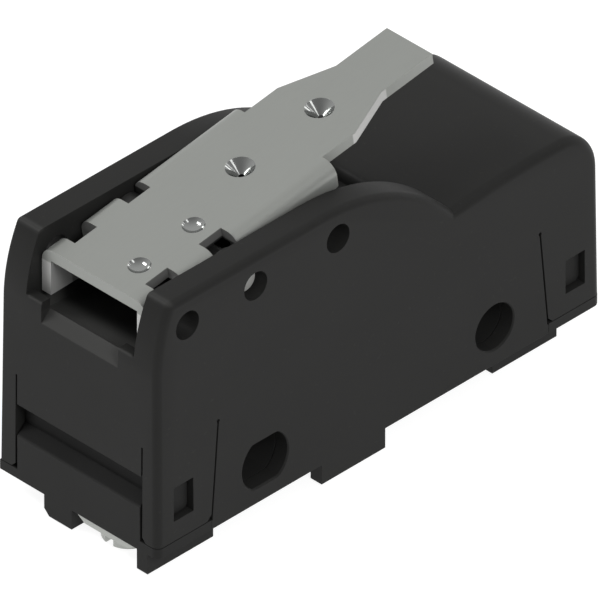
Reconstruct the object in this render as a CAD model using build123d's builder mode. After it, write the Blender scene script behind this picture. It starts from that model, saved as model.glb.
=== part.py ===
from build123d import *
from math import atan2, cos, radians, sin, sqrt, tan
import os

# Basic-size snap-action switch with a hinge lever, in millimetres.
# The switch stands on its feet. The origin is below the middle of the housing, at the level of the feet.
# X runs along the housing, towards the free end of the lever. The terminals are below.

# Housing as a whole
body_length = 49.2
body_width = 17.5
corner_radius = 0.65
far_corner_radius = 0.25
wall_draft = 0.7
side_wall = 1.4
end_wall = 1.4
mould_gap = 0.1
joint_gap = 0.03

# Levels, from the feet up
foot_height = 1.85
seam_rise = 0.95
floor_thickness = 2.55
tray_top = 9.2
deck_top = 17.3
deck_thickness = 1.5
block_top = 18.6
cheek_top = 25.1

# Cheeks and the pocket between them
cheek_thickness = 2.8
pocket_length = 30.8
pocket_front_wall = 1.2
cheek_nose_radius = 15.3
cheek_nose_start = 18.5
cheek_flat_length = 18.6
cheek_arc_radius = 19.0
cheek_corner_radius = 0.45
ledge_level = 19.8
sill_inset = 1.72
sill_low = 17.92
sill_chamfer = 0.95
scoop_radius = 2.4

# End block behind the pocket
block_lip_drop = 0.3
block_crown = 0.5
block_end_rise = 0.35
block_end_radius = 4.1
block_edge_radius = 0.8
block_lip_radius = 0.8
block_roof = 1.5
hollow_step = 1.0

# Corner tabs, their slits and windows
slit_width = 0.16
side_slit_foot = 5.97
side_slit_head = 6.81
side_slit_top = 11.75
end_slit_inset = 1.8
end_slit_top = 11.7
tab_corner = 0.5
window_outer = 1.85
window_length = 2.15
window_low = 4.65
window_high = 7.8
lug_clearance = 0.2
lug_setback = 0.55
lug_radius = 0.55

# Groove across both ends, between cover and base
groove_low = 6.26
groove_high = 8.85
groove_depth = 1.0
groove_slope = 0.6
tray_wall = 1.2

# Mounting holes across the housing
mount_pitch = 25.4
mount_level = 5.4
mount_diameter = 4.2
mount_slot_length = 5.0
mount_boss_wall = 1.5
mount_chamfer = 0.15

# Feet and ribs round the three terminals
front_terminal_inset = 2.7
rear_terminal_inset = 6.1
foot_length = 7.2
foot_thickness = 1.2
foot_setback = 1.1
middle_foot_lead = 4.85
middle_foot_length = 7.05
middle_foot_thickness = 1.25
rear_foot_inset = 3.9
rib_inset = 4.92
rib_width = 3.06
rib_chamfer = 0.55

# Lever, bent from sheet
sheet = 1.0
lever_rise = 8.42
pivot_inset = 11.06
pivot_level = 22.4
lever_plate_height = 2.697
lever_front = -8.94
lever_end = 26.1
lever_side_gap = 0.2
bend_radius = 1.2
flange_end = 12.03
flange_toe = -9.58
flange_toe_depth = 4.18
flange_rear_depth = 2.2
ear_radius = 2.6
arm_step = 1.47
arm_taper_start = 15.67
arm_taper_end = 20.4
arm_tip_half_width = 2.5
notch_length = 2.44
notch_reach = 1.88
notch_depth = 2.2
pivot_ring_radius = 1.65
front_notch = -5.96
pivot_notch = -0.05
dimple_diameter = 1.9
dimple_depth = 0.45
dimple_row = -1.95
front_dimple = -5.88
rear_dimple = 0.1
countersink_diameter = 2.45
lever_hole_diameter = 0.5
near_lever_hole = 7.22
far_lever_hole = 16.03

# Pivot pin and the row of holes in the cheeks
pin_diameter = 2.4
pin_clearance = 0.05
pin_recess = 1.1
front_hole_pitch = 7.46
rear_hole_pitch = 9.04

# Plunger between lever and blade
plunger_offset = 4.04
plunger_diameter = 4.0
plunger_clearance = 0.06
plunger_dome = 2.4
plunger_collar_diameter = 6.4
plunger_collar_height = 1.4
plunger_stem_diameter = 3.0
plunger_tip_diameter = 1.8
plunger_tip_length = 0.6
plunger_gap = 0.06
lever_travel = 8.0
guide_diameter = 7.4
guide_top = 20.3
seal_height = 0.9
seal_width = 0.8

# Contact blade, its pivot and its contacts
blade_pivot_offset = 1.6
blade_level = 12.5
blade_thickness = 0.3
blade_width = 5.2
contact_offset = 8.2
contact_diameter = 3.0
contact_height = 1.6
contact_gap = 0.05
fixed_contact_height = 0.8
rivet_diameter = 1.6
rivet_clearance = 0.02
rivet_head_diameter = 2.4
blade_lug_offset = 0.5
blade_lug_depth = 2.7
blade_lug_width = 2.4

# Terminals
strip = 0.8
terminal_plate_length = 3.8
terminal_plate_gap = 0.51
collar_diameter = 3.6
riser_inset = 1.5
riser_head_width = 4.4
bay_clearance = 0.1
common_shelf_drop = 0.5
common_shelf_reach = 0.7
open_arm_top = 9.0
arm_overhang = 2.1
anchor_reach = 0.5
anchor_length = 2.25
anchor_height = 1.6
notch_mouth = 0.9
notch_throat = 0.4
anchor_rivet_offset = 0.5

# Terminal screws and pressure plates
screw_diameter = 2.5
screw_head_diameter = 4.4
screw_rim_chamfer = 0.12
screw_head_height = 1.05
screw_slot_width = 0.9
screw_slot_depth = 0.7
screw_reach = 4.3
screw_tip_chamfer = 0.3
thread_clearance = 0.02
clamp_length = 5.0
clamp_gap = 0.31
clamp_thickness = 0.7
clamp_chamfer = 0.95
clamp_lip = 0.1

# Tension spring
spring_diameter = 1.9
spring_wire = 0.3
spring_level = 10.4
spring_leg = 1.6
spring_stop_diameter = 1.0
spring_stop_gap = 0.05

half_length = body_length / 2
half_width = body_width / 2
inner_half_length = half_length - end_wall
inner_half_width = half_width - side_wall
seam_height = foot_height + seam_rise
floor_top = foot_height + floor_thickness
deck_underside = deck_top - deck_thickness
pocket_half = half_width - cheek_thickness
pocket_rear = pocket_length - half_length
cheek_flat_end = cheek_flat_length - half_length
mount_x = mount_pitch / 2
pivot_x = pivot_inset - half_length
plunger_x = pivot_x + plunger_offset
pin_hole_diameter = pin_diameter + 2 * pin_clearance

# The three terminals, from the front: common, normally open and normally closed
front_place = front_terminal_inset - half_length
rear_place = half_length - rear_terminal_inset
middle_place = (front_place + rear_place) / 2
terminal_places = [front_place, middle_place, rear_place]
blade_pivot_x = front_place + blade_pivot_offset
contact_x = middle_place + contact_offset
blade_lug_x = middle_place + blade_lug_offset
common_shelf_end = front_place - common_shelf_reach
anchor_start = front_place - anchor_reach
anchor_end = anchor_start + anchor_length
anchor_rivet_x = front_place + anchor_rivet_offset
middle_foot_start = middle_place - middle_foot_lead

os.makedirs("parts", exist_ok=True)


def write(part, name):
    """Labels a finished piece and writes it under its own name."""
    part.label = name
    export_step(part, f"parts/{name}.step")


def across(x, z):
    """A plane facing -Y with its origin on the middle plane, for what runs across the housing."""
    return Plane(origin=(x, 0, z), x_dir=(1, 0, 0), z_dir=(0, -1, 0))


def into_side(x, side):
    """A plane on the side wall at the level of the mounting holes, facing into the housing."""
    return Plane(origin=(x, side * half_width, mount_level), x_dir=(1, 0, 0), z_dir=(0, -side, 0))


# End block: the crowned roof behind the pocket, rounded along its sides and its far end
lean = radians(wall_draft)
arc_drop = cheek_top - cheek_arc_radius
cheek_foot = cheek_flat_end + sqrt(cheek_arc_radius**2 - (deck_top - arc_drop) ** 2)
block_end = half_length - tan(lean) * (block_top + block_end_rise - foot_height)
crown_middle = (pocket_rear + block_end) / 2
crown_top = block_top + block_crown
lip_top = block_top - block_lip_drop
end_top = block_top + block_end_rise

with BuildPart() as end_block:
    with BuildSketch(Plane.XZ):
        with BuildLine():
            ThreePointArc((pocket_rear, lip_top), (crown_middle, crown_top), (block_end, end_top))
            Polyline(
                (block_end, end_top),
                (half_length, foot_height),
                (pocket_rear, foot_height),
                (pocket_rear, lip_top),
            )
        make_face()
    extrude(amount=body_width, both=True)
    roof_ends = end_block.edges().filter_by(Axis.Y).filter_by(lambda e: e.center().Z > deck_top)
    fillet(roof_ends.sort_by(Axis.X)[-1:], block_end_radius)
    roof_front = end_block.edges().filter_by(Axis.Y).filter_by(
        lambda e: e.center().Z > deck_top and e.center().X < pocket_rear + block_lip_radius
    )
    fillet(roof_front, block_lip_radius)
    with BuildSketch(Plane.XY.offset(foot_height)):
        Rectangle(2 * body_length, body_width)
    extrude(amount=cheek_top - foot_height, taper=wall_draft, mode=Mode.INTERSECT)
    roof_sides = end_block.edges().filter_by(
        lambda e: abs(e.tangent_at(0.5).Y) < 0.5
        and e.center().Z > foot_height
        and e.center().X > pocket_rear + block_lip_radius
    )
    fillet(roof_sides, block_edge_radius)

# Housing cover: a drafted shell with two cheeks round a pocket in front of the end block
nose_foot = tan(lean) * (cheek_nose_start - foot_height) - half_length
nose_centre_x = nose_foot + cheek_nose_radius * cos(lean)
nose_centre_z = cheek_nose_start - cheek_nose_radius * sin(lean)
nose_end = nose_centre_x - sqrt(cheek_nose_radius**2 - (cheek_top - nose_centre_z) ** 2)
nose_middle = atan2(cheek_top - nose_centre_z, nose_centre_x - nose_end) / 2
arc_middle = radians(70)

# The front wall of the pocket: a sill that slopes to the front, and a scoop behind it down to the deck
sill_front = tan(lean) * (sill_low - foot_height) - half_length
sill_top = sill_low + sill_chamfer
scoop_drop = sill_top - deck_top
scoop_end = -half_length + pocket_front_wall + sqrt(scoop_radius**2 - (scoop_radius - scoop_drop) ** 2)
scoop_half = atan2(scoop_end + half_length - pocket_front_wall, scoop_radius - scoop_drop) / 2
scoop_middle = (
    scoop_end - scoop_radius * sin(scoop_half), deck_top + scoop_radius * (1 - cos(scoop_half))
)

with BuildPart() as housing_cover:
    # Front of the cover, up to the curve that ends the cheeks
    with BuildSketch(Plane.XZ):
        with BuildLine():
            Line((-half_length, foot_height), (nose_foot, cheek_nose_start))
            ThreePointArc(
                (nose_foot, cheek_nose_start),
                (
                    nose_centre_x - cheek_nose_radius * cos(nose_middle),
                    nose_centre_z + cheek_nose_radius * sin(nose_middle),
                ),
                (nose_end, cheek_top),
            )
            Line((nose_end, cheek_top), (cheek_flat_end, cheek_top))
            ThreePointArc(
                (cheek_flat_end, cheek_top),
                (
                    cheek_flat_end + cheek_arc_radius * cos(arc_middle),
                    arc_drop + cheek_arc_radius * sin(arc_middle),
                ),
                (cheek_foot, deck_top),
            )
            Polyline((cheek_foot, deck_top), (cheek_foot, foot_height), (-half_length, foot_height))
        make_face()
    extrude(amount=body_width, both=True)
    nose_corner = housing_cover.edges().filter_by(Axis.Y).filter_by(
        lambda e: e.center().Z > ledge_level and e.center().X < cheek_flat_end - corner_radius
    )
    fillet(nose_corner, cheek_corner_radius)
    with BuildSketch(Plane.XY.offset(foot_height)):
        Rectangle(2 * body_length, body_width)
    extrude(amount=cheek_top - foot_height, taper=wall_draft, mode=Mode.INTERSECT)
    cheek_edges = housing_cover.edges().filter_by(
        lambda e: abs(e.tangent_at(0.5).Y) < 0.5
        and e.center().Z > foot_height
        and e.center().X < cheek_foot - corner_radius
    )
    fillet(cheek_edges.filter_by(lambda e: e.center().Y < 0), corner_radius)
    far_edges = housing_cover.edges().filter_by(
        lambda e: abs(e.tangent_at(0.5).Y) < 0.5
        and e.center().Y > half_width - cheek_thickness
        and e.center().Z > foot_height
        and e.center().X < cheek_foot - corner_radius
    )
    fillet(far_edges, far_corner_radius)
    # Pocket between the cheeks, open over the ledges of the front wall
    wall_back = -half_length + pocket_front_wall
    with BuildSketch(Plane.XZ):
        with BuildLine():
            Polyline(
                (-body_length, cheek_top + 1),
                (-body_length, ledge_level),
                (wall_back, ledge_level),
                (wall_back, sill_top),
            )
            ThreePointArc((wall_back, sill_top), scoop_middle, (scoop_end, deck_top))
            Polyline(
                (scoop_end, deck_top),
                (cheek_foot + 1, deck_top),
                (cheek_foot + 1, cheek_top + 1),
                (-body_length, cheek_top + 1),
            )
        make_face()
    extrude(amount=pocket_half, both=True, mode=Mode.SUBTRACT)
    # Sloping sill between the two ledges
    with BuildSketch(Plane.XZ):
        with BuildLine():
            Polyline(
                (-body_length, ledge_level + 1),
                (-body_length, sill_low),
                (sill_front, sill_low),
                (wall_back, sill_top),
                (wall_back, ledge_level + 1),
                close=True,
            )
        make_face()
    extrude(amount=pocket_half - sill_inset, both=True, mode=Mode.SUBTRACT)
    add(end_block.part)
    # Guide collar for the plunger
    with BuildSketch(Plane.XY.offset(deck_top)):
        with Locations((plunger_x, 0)):
            Circle(guide_diameter / 2)
    extrude(amount=guide_top - deck_top)
    # Hollow for the mechanism
    with BuildSketch(Plane.XY.offset(foot_height)):
        Rectangle(2 * inner_half_length, 2 * inner_half_width)
    extrude(amount=deck_underside - foot_height, mode=Mode.SUBTRACT)
    block_hollow_start = pocket_rear + block_roof
    with BuildSketch(Plane.XY.offset(deck_underside)):
        with Locations(((block_hollow_start + inner_half_length - hollow_step) / 2, 0)):
            Rectangle(
                inner_half_length - hollow_step - block_hollow_start,
                2 * inner_half_width - hollow_step,
            )
    extrude(amount=block_top - block_roof - deck_underside, mode=Mode.SUBTRACT)
    # Ends stop above the groove, and the corners stop at the seam
    with BuildSketch(Plane.XZ):
        for side in (-1, 1):
            with BuildLine():
                Polyline(
                    (side * (inner_half_length - hollow_step), foot_height - 1),
                    (side * (inner_half_length - hollow_step), groove_high + groove_slope),
                    (side * (half_length - groove_depth), groove_high + groove_slope),
                    (side * (half_length + 1), groove_high - groove_slope),
                    (side * (half_length + 1), foot_height - 1),
                    close=True,
                )
            make_face()
    extrude(amount=half_width - end_slit_inset, both=True, mode=Mode.SUBTRACT)
    tab_length = side_slit_foot - slit_width / 2 + joint_gap
    with BuildSketch(Plane.XY.offset(foot_height)):
        for side in (-1, 1):
            with Locations((side * (half_length - tab_length / 2), 0)):
                Rectangle(tab_length, body_width)
    extrude(amount=seam_height - foot_height, mode=Mode.SUBTRACT)
    # Slits that free the corner tabs, through the sides and through the ends
    with BuildSketch(Plane.XZ):
        for side in (-1, 1):
            foot_x = side * (half_length - side_slit_foot)
            head_x = side * (half_length - side_slit_head)
            with BuildLine():
                Polyline(
                    (foot_x - slit_width / 2, seam_height - mould_gap),
                    (head_x - slit_width / 2, side_slit_top),
                    (head_x + slit_width / 2, side_slit_top),
                    (foot_x + slit_width / 2, seam_height - mould_gap),
                    close=True,
                )
            make_face()
            with Locations((head_x, side_slit_top)):
                Circle(slit_width)
    extrude(amount=body_width, both=True, mode=Mode.SUBTRACT)
    with BuildSketch(Plane.YZ):
        with Locations((half_width - end_slit_inset, (foot_height + end_slit_top) / 2)):
            Rectangle(slit_width, end_slit_top - foot_height)
        with Locations((end_slit_inset - half_width, (foot_height + end_slit_top) / 2)):
            Rectangle(slit_width, end_slit_top - foot_height)
    extrude(amount=body_length, both=True, mode=Mode.SUBTRACT)
    # Cut corners at the foot of the tabs
    with BuildSketch(Plane.XZ):
        for side in (-1, 1):
            slit_x = side * (half_length - side_slit_foot)
            with BuildLine():
                Polyline(
                    (slit_x, seam_height - mould_gap),
                    (slit_x + side * (tab_corner + mould_gap), seam_height - mould_gap),
                    (slit_x, seam_height + tab_corner),
                    close=True,
                )
            make_face()
    extrude(amount=body_width, both=True, mode=Mode.SUBTRACT)
    with BuildSketch(Plane.YZ):
        for side in (-1, 1):
            slit_y = side * (half_width - end_slit_inset)
            with BuildLine():
                Polyline(
                    (slit_y, seam_height - mould_gap),
                    (slit_y + side * (tab_corner + mould_gap), seam_height - mould_gap),
                    (slit_y, seam_height + tab_corner),
                    close=True,
                )
            make_face()
    extrude(amount=body_length, both=True, mode=Mode.SUBTRACT)
    # Windows of the four tabs
    window_x = half_length - window_outer - window_length / 2
    with BuildSketch(Plane.XZ):
        with Locations(
            (-window_x, (window_low + window_high) / 2), (window_x, (window_low + window_high) / 2)
        ):
            Rectangle(window_length, window_high - window_low)
    extrude(amount=body_width, both=True, mode=Mode.SUBTRACT)
    # Foot in the middle of the near side, in line with the wall
    with BuildSketch(Plane.XY):
        with Locations(
            (
                middle_foot_start + middle_foot_length / 2,
                -half_width + middle_foot_thickness / 2,
            )
        ):
            Rectangle(middle_foot_length, middle_foot_thickness)
    extrude(amount=foot_height)
    # Mounting holes, chamfered at their mouths
    with BuildSketch(across(-mount_x, mount_level)):
        SlotOverall(mount_slot_length, mount_diameter)
    extrude(amount=body_width, both=True, mode=Mode.SUBTRACT)
    with BuildSketch(across(mount_x, mount_level)):
        Circle(mount_diameter / 2)
    extrude(amount=body_width, both=True, mode=Mode.SUBTRACT)
    for side in (-1, 1):
        with BuildSketch(into_side(-mount_x, side)):
            SlotOverall(mount_slot_length + 2 * mount_chamfer, mount_diameter + 2 * mount_chamfer)
        with BuildSketch(into_side(mount_x, side)):
            Circle(mount_diameter / 2 + mount_chamfer)
        extrude(amount=mount_chamfer, taper=45, mode=Mode.SUBTRACT)
    # Holes in the cheeks: one holds the pivot pin, the others are for other lever positions
    with BuildSketch(Plane.XZ):
        with Locations(
            (pivot_x - front_hole_pitch, pivot_level),
            (pivot_x, pivot_level),
            (pivot_x + rear_hole_pitch, pivot_level),
        ):
            Circle(pin_hole_diameter / 2)
    extrude(amount=body_width, both=True, mode=Mode.SUBTRACT)
    # Plunger bore, with a seat for the seal at its top
    with BuildSketch(Plane.XY.offset(deck_underside)):
        with Locations((plunger_x, 0)):
            Circle(plunger_diameter / 2 + plunger_clearance)
    extrude(amount=guide_top - deck_underside, mode=Mode.SUBTRACT)
    with BuildSketch(Plane.XY.offset(guide_top - seal_height)):
        with Locations((plunger_x, 0)):
            Circle(plunger_diameter / 2 + plunger_clearance + seal_width)
    extrude(amount=seal_height, mode=Mode.SUBTRACT)

write(housing_cover.part, "housing_cover")

# Base: a tray with end walls in line with the cover's ends, lugs behind the windows and feet below
tray_half_length = inner_half_length - mould_gap
tray_half_width = inner_half_width - mould_gap
corner_strip = side_slit_foot - slit_width / 2
end_wall_half_width = half_width - end_slit_inset - slit_width
rib_start = half_width - rib_inset - rib_width
foot_places = [
    -half_length + foot_length / 2,
    middle_foot_start + middle_foot_length / 2,
    half_length - rear_foot_inset - foot_length / 2,
]
bay_low = -half_width + foot_setback + foot_thickness
bay_width = rib_start - bay_low
bay_middle = (rib_start + bay_low) / 2
screw_places = [(place, bay_middle) for place in terminal_places]
terminal_plate_width = bay_width - 2 * terminal_plate_gap
clamp_width = bay_width - 2 * clamp_gap
riser_offset = terminal_plate_length / 2 + strip / 2
head_high = foot_height - clamp_thickness
head_low = head_high - screw_head_height
screw_tip = head_high + screw_reach
riser_foot_width = terminal_plate_width - riser_inset

with BuildPart() as base:
    # Floor, with a strip under each pair of corner tabs
    with BuildSketch(Plane.XY.offset(foot_height)) as floor_plan:
        Rectangle(body_length, body_width)
        front_corners = floor_plan.vertices().group_by(Axis.X)[0].sort_by(Axis.Y)
        fillet(front_corners[:1], corner_radius)
        fillet(front_corners[-1:], far_corner_radius)
        fillet(floor_plan.vertices().group_by(Axis.X)[-1], block_edge_radius)
        Rectangle(body_length - 2 * corner_strip, body_width, mode=Mode.SUBTRACT)
        Rectangle(body_length - 2 * corner_strip, 2 * tray_half_width)
    extrude(amount=seam_height - foot_height - mould_gap / 2)
    with BuildSketch(Plane.XY.offset(seam_height - mould_gap / 2)):
        Rectangle(2 * tray_half_length, 2 * tray_half_width)
    extrude(amount=tray_top - seam_height + mould_gap / 2)
    # End walls, stepped back behind the cover to leave the groove
    with BuildSketch(Plane.XZ):
        for side in (-1, 1):
            with BuildLine():
                Polyline(
                    (side * (half_length - groove_depth - tray_wall), foot_height),
                    (side * half_length, foot_height),
                    (side * half_length, groove_low - groove_slope / 2),
                    (side * (half_length - groove_depth), groove_low + groove_slope),
                    (side * (half_length - groove_depth), groove_high + groove_slope - mould_gap),
                    (
                        side * (half_length - groove_depth - tray_wall),
                        groove_high + groove_slope - mould_gap,
                    ),
                    close=True,
                )
            make_face()
    extrude(amount=end_wall_half_width, both=True)
    # Hollow of the tray, wider below the groove so that the end walls keep their thickness
    step_level = groove_low - groove_slope
    with BuildSketch(Plane.XY.offset(floor_top)):
        Rectangle(2 * inner_half_length, 2 * (tray_half_width - tray_wall))
    extrude(amount=step_level - floor_top, mode=Mode.SUBTRACT)
    with BuildSketch(Plane.XY.offset(step_level)):
        Rectangle(2 * (half_length - groove_depth - tray_wall), 2 * (tray_half_width - tray_wall))
    extrude(amount=tray_top, mode=Mode.SUBTRACT)
    # Bosses round the mounting holes
    with BuildSketch(across(-mount_x, mount_level)):
        SlotOverall(mount_slot_length + 2 * mount_boss_wall, mount_diameter + 2 * mount_boss_wall)
    with BuildSketch(across(mount_x, mount_level)):
        Circle(mount_diameter / 2 + mount_boss_wall)
    extrude(amount=tray_half_width, both=True)
    with BuildSketch(across(-mount_x, mount_level)):
        SlotOverall(mount_slot_length, mount_diameter)
    with BuildSketch(across(mount_x, mount_level)):
        Circle(mount_diameter / 2)
    extrude(amount=body_width, both=True, mode=Mode.SUBTRACT)
    # Snap lugs that fill the windows of the tabs
    with BuildSketch(Plane.XZ):
        with Locations(
            (-window_x, (window_low + window_high) / 2), (window_x, (window_low + window_high) / 2)
        ):
            RectangleRounded(
                window_length - 2 * lug_clearance, window_high - window_low - 2 * lug_clearance, lug_radius
            )
    extrude(amount=half_width - lug_setback, both=True)
    with BuildSketch(Plane.XZ):
        with Locations(
            (-window_x, (window_low + window_high) / 2), (window_x, (window_low + window_high) / 2)
        ):
            Rectangle(window_length, window_high - window_low)
    extrude(amount=tray_half_width - tray_wall, both=True, mode=Mode.SUBTRACT)
    # Feet along the near side and ribs along the other side of the terminals
    with BuildSketch(Plane.XY):
        with Locations(
            *[
                (foot_places[i], -half_width + foot_setback + foot_thickness / 2)
                for i in (0, 2)
            ]
        ):
            Rectangle(foot_length, foot_thickness)
        with Locations(*[(place, rib_start + rib_width / 2) for place in foot_places]):
            Rectangle(foot_length, rib_width)
    extrude(amount=foot_height)
    ribs = base.edges().filter_by(Axis.X).filter_by(
        lambda e: e.center().Z < foot_height / 2 and e.center().Y > rib_start + rib_width / 2
    )
    chamfer(ribs, rib_chamfer)
    # Passages in the floor: a bay for each terminal plate, its collar and its riser
    with BuildSketch(Plane.XY.offset(foot_height)):
        with Locations(*screw_places):
            Rectangle(terminal_plate_length, terminal_plate_width)
    extrude(amount=strip, mode=Mode.SUBTRACT)
    with BuildSketch(Plane.XY.offset(foot_height)):
        with Locations(*screw_places):
            Circle(collar_diameter / 2 + bay_clearance)
    extrude(amount=screw_tip + bay_clearance - foot_height, mode=Mode.SUBTRACT)

    with BuildSketch(Plane.XY.offset(foot_height)):
        with Locations(*[(place + riser_offset, bay_middle) for place in terminal_places]):
            Rectangle(strip + 2 * bay_clearance, riser_foot_width + 2 * bay_clearance)
    extrude(amount=floor_top - foot_height, mode=Mode.SUBTRACT)

write(base.part, "base")

# Where the plunger, the blade and the contacts stand at rest and at the end of the travel
plate_under = lever_plate_height - sheet


def lever_under(rise):
    """The level of the lever's underside above the plunger, for a rise of the lever in degrees."""
    slope = radians(rise)
    return pivot_level + plate_under / cos(slope) + (plunger_x - pivot_x) * tan(slope)


plunger_stroke = lever_under(lever_rise) - lever_under(lever_rise - lever_travel)
dome_rise = plunger_dome * (1 / cos(radians(lever_rise)) - 1)
plunger_top = lever_under(lever_rise) - dome_rise - plunger_gap
blade_swing = plunger_stroke / (plunger_x - blade_pivot_x)
contact_travel = blade_swing * (contact_x - blade_pivot_x)
blade_top = blade_level + blade_thickness
blade_middle = blade_level + blade_thickness / 2
moving_top = blade_middle + contact_height / 2
moving_low = blade_middle - contact_height / 2
pressed_low = moving_low - contact_travel - blade_swing * contact_diameter / 2
closed_arm_low = moving_top + contact_gap + fixed_contact_height
open_contact_top = pressed_low - contact_gap
shelf_top = blade_level - common_shelf_drop

# Plunger: domed head, collar below the deck and a slim tip on the blade
plunger_radius = plunger_diameter / 2
collar_top = deck_underside - mould_gap
dome_shoulder = plunger_top - plunger_dome + sqrt(plunger_dome**2 - plunger_radius**2)
dome_angle = atan2(plunger_radius, sqrt(plunger_dome**2 - plunger_radius**2)) / 2
tip_low = blade_top + plunger_gap
stem_low = tip_low + plunger_tip_length

with BuildPart() as plunger:
    with BuildSketch(across(plunger_x, 0)):
        with BuildLine():
            ThreePointArc(
                (0, plunger_top),
                (
                    plunger_dome * sin(dome_angle),
                    plunger_top - plunger_dome + plunger_dome * cos(dome_angle),
                ),
                (plunger_radius, dome_shoulder),
            )
            Polyline(
                (plunger_radius, dome_shoulder),
                (plunger_radius, collar_top),
                (plunger_collar_diameter / 2, collar_top),
                (plunger_collar_diameter / 2, collar_top - plunger_collar_height),
                (plunger_stem_diameter / 2, collar_top - plunger_collar_height),
                (plunger_stem_diameter / 2, stem_low),
                (plunger_tip_diameter / 2, tip_low),
                (0, tip_low),
                (0, plunger_top),
            )
        make_face()
    revolve(axis=Axis((plunger_x, 0, 0), (0, 0, 1)))
write(plunger.part, "plunger")

# Seal round the plunger, in the top of its guide
with BuildPart() as plunger_seal:
    with BuildSketch(Plane.XY.offset(guide_top - seal_height)):
        with Locations((plunger_x, 0)):
            Circle(plunger_radius + plunger_clearance + seal_width)
            Circle(plunger_radius + plunger_clearance, mode=Mode.SUBTRACT)
    extrude(amount=seal_height)
    fillet(plunger_seal.edges().group_by(Axis.Z)[-1], seal_width / 4)
write(plunger_seal.part, "plunger_seal")

# Lever: one folded sheet, drawn in a frame that lies on the pivot and rises with the lever
rise = radians(lever_rise)
lever_frame = Plane(
    origin=(pivot_x, 0, pivot_level), x_dir=(cos(rise), 0, sin(rise)), z_dir=(-sin(rise), 0, cos(rise))
)
lever_side = Plane(
    origin=(pivot_x, 0, pivot_level), x_dir=(cos(rise), 0, sin(rise)), z_dir=(0, -1, 0)
)
lever_half = pocket_half - lever_side_gap
arm_half_width = lever_half - arm_step
notch_inner = lever_half - notch_reach
ear_reach = sqrt(ear_radius**2 / 2)

with BuildPart() as actuating_lever:
    # Outline of the flanges, full across the lever
    with BuildSketch(lever_side):
        with BuildLine():
            Polyline(
                (0, -ear_radius),
                (flange_toe, lever_plate_height - flange_toe_depth),
                (lever_front, lever_plate_height),
                (flange_end, lever_plate_height),
                (flange_end, lever_plate_height - flange_rear_depth),
                (ear_reach + ear_radius, -ear_reach),
                (ear_reach, -ear_reach),
            )
            RadiusArc((ear_reach, -ear_reach), (0, -ear_radius), ear_radius)
        make_face()
    extrude(amount=lever_half, both=True)
    folds = actuating_lever.edges().filter_by(
        lambda e: abs(abs(e.center().Y) - lever_half) < 0.01
        and e.center().Z > lever_frame.from_local_coords((e.center().X - pivot_x, 0, plate_under)).Z
        and e.length > flange_end
    )
    fillet(folds, bend_radius)
    with BuildSketch(lever_side):
        with BuildLine():
            Polyline(
                (flange_toe - 1, plate_under),
                (flange_end + 1, plate_under),
                (flange_end + 1, -2 * ear_radius),
                (flange_toe - 1, -2 * ear_radius),
                close=True,
            )
        make_face()
    extrude(amount=lever_half - sheet, both=True, mode=Mode.SUBTRACT)
    # Arm behind the flanges, tapering to the tip
    with BuildSketch(lever_frame.offset(plate_under)):
        with BuildLine():
            Polyline(
                (flange_end - bend_radius, arm_half_width),
                (arm_taper_start, arm_half_width),
                (arm_taper_end, arm_tip_half_width),
                (lever_end, arm_tip_half_width),
                (lever_end, -arm_tip_half_width),
                (arm_taper_end, -arm_tip_half_width),
                (arm_taper_start, -arm_half_width),
                (flange_end - bend_radius, -arm_half_width),
                close=True,
            )
        make_face()
    extrude(amount=sheet)
    # Reliefs in the folds
    with BuildSketch(lever_frame.offset(lever_plate_height - notch_depth)):
        relief_reach = lever_half + 1 - notch_inner
        with Locations(
            *[
                (place, side * (notch_inner + relief_reach / 2))
                for place in (front_notch, pivot_notch)
                for side in (-1, 1)
            ]
        ):
            Rectangle(notch_length, relief_reach)
    extrude(amount=notch_depth + 1, mode=Mode.SUBTRACT)
    # Rings round the pivot, left standing in the second pair of reliefs
    for side in (-1, 1):
        with BuildSketch(lever_side.offset(side * (lever_half - sheet / 2))):
            Circle(pivot_ring_radius)
        extrude(amount=sheet / 2, both=True)
    # Pivot holes in the flanges and countersunk holes along the middle of the plate
    with BuildSketch(lever_side):
        Circle(pin_hole_diameter / 2)
    extrude(amount=2 * lever_half, both=True, mode=Mode.SUBTRACT)
    with BuildSketch(lever_frame.offset(plate_under)):
        with Locations((near_lever_hole, 0), (far_lever_hole, 0)):
            Circle(lever_hole_diameter / 2)
    extrude(amount=sheet, mode=Mode.SUBTRACT)
    countersink_depth = (countersink_diameter - lever_hole_diameter) / 2
    with Locations(
        *[
            lever_frame * Location((place, 0, lever_plate_height - countersink_depth / 2))
            for place in (near_lever_hole, far_lever_hole)
        ]
    ):
        Cone(
            lever_hole_diameter / 2,
            countersink_diameter / 2,
            countersink_depth,
            mode=Mode.SUBTRACT,
        )
    # Pressed dimples, parts of a ball
    dimple_ball = ((dimple_diameter / 2) ** 2 + dimple_depth**2) / (2 * dimple_depth)
    with Locations(
        *[
            lever_frame.from_local_coords(
                (place, dimple_row, lever_plate_height - dimple_depth + dimple_ball)
            )
            for place in (front_dimple, rear_dimple)
        ]
    ):
        Sphere(dimple_ball, mode=Mode.SUBTRACT)
write(actuating_lever.part, "actuating_lever")

# Pivot pin, set back in the cheeks
pin_length = 2 * (half_width - tan(radians(wall_draft)) * (pivot_level - foot_height) - pin_recess)
with BuildPart() as pivot_pin:
    with BuildSketch(across(pivot_x, pivot_level)):
        Circle(pin_diameter / 2)
    extrude(amount=pin_length / 2, both=True)
    chamfer(pivot_pin.edges().filter_by(GeomType.CIRCLE), pin_diameter / 12)
write(pivot_pin.part, "pivot_pin")

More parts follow.
